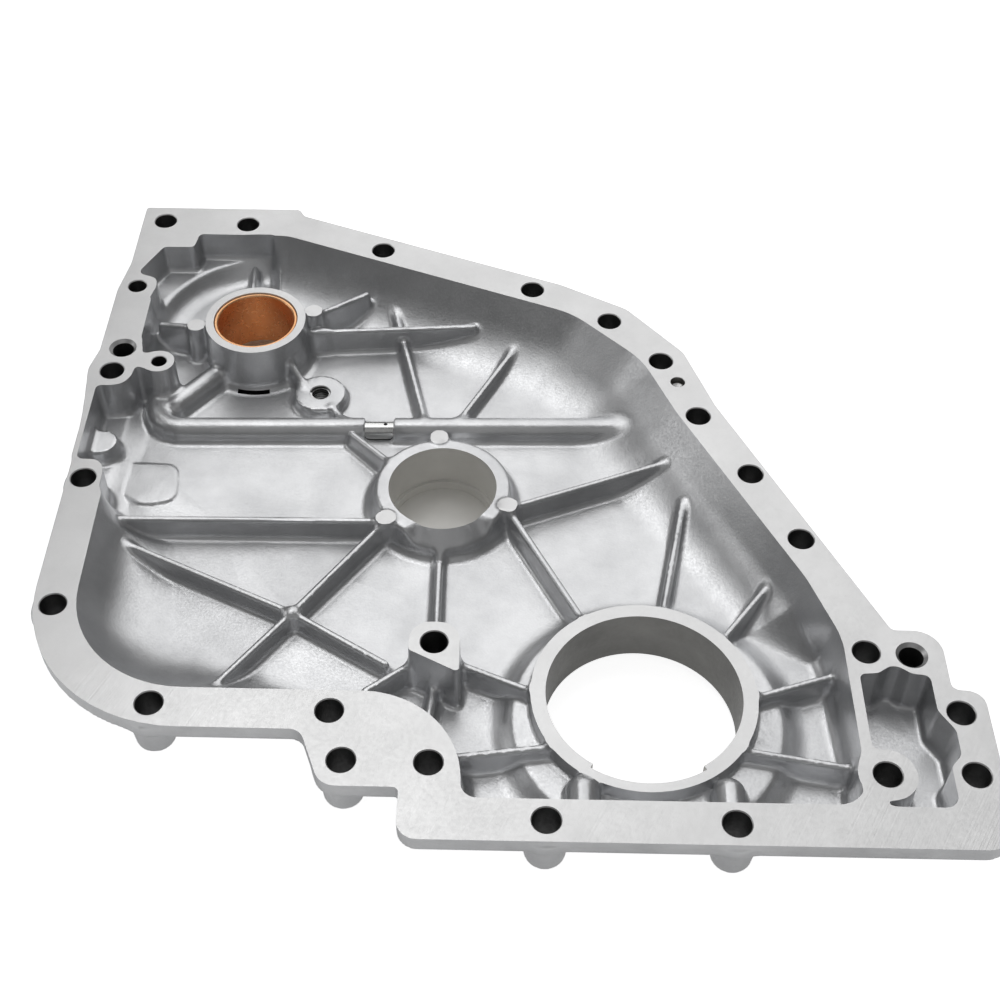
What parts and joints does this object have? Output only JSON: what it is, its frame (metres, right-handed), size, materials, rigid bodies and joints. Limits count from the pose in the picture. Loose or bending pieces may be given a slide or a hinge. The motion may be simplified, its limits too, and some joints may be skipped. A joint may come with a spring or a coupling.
{
  "type": "timing cover",
  "caption": "Ribbed cast aluminium engine timing cover with a crank seal bore, a closed middle bore, a bronze-bushed drive bore and an oil rail.",
  "frame": {"origin": "centre of the bounding box, at the plane of the outer bosses that the cover lies on", "axes": "+Z out of the gasket face, along the bores; +Y from the crank bore towards the drive bush; +X towards the oil pocket"},
  "size_m": [0.3864, 0.3729, 0.042],
  "materials": {
    "cast_aluminium": "sand-cast skin, with milled gasket face and bored seats",
    "bronze": "finely bored bronze",
    "steel": "bright drawn tube"
  },
  "bodies": {
    "root": {"cover_casting": "cast_aluminium", "drive_bush": "bronze", "oil_tube": "steel"}
  },
  "joints": []
}
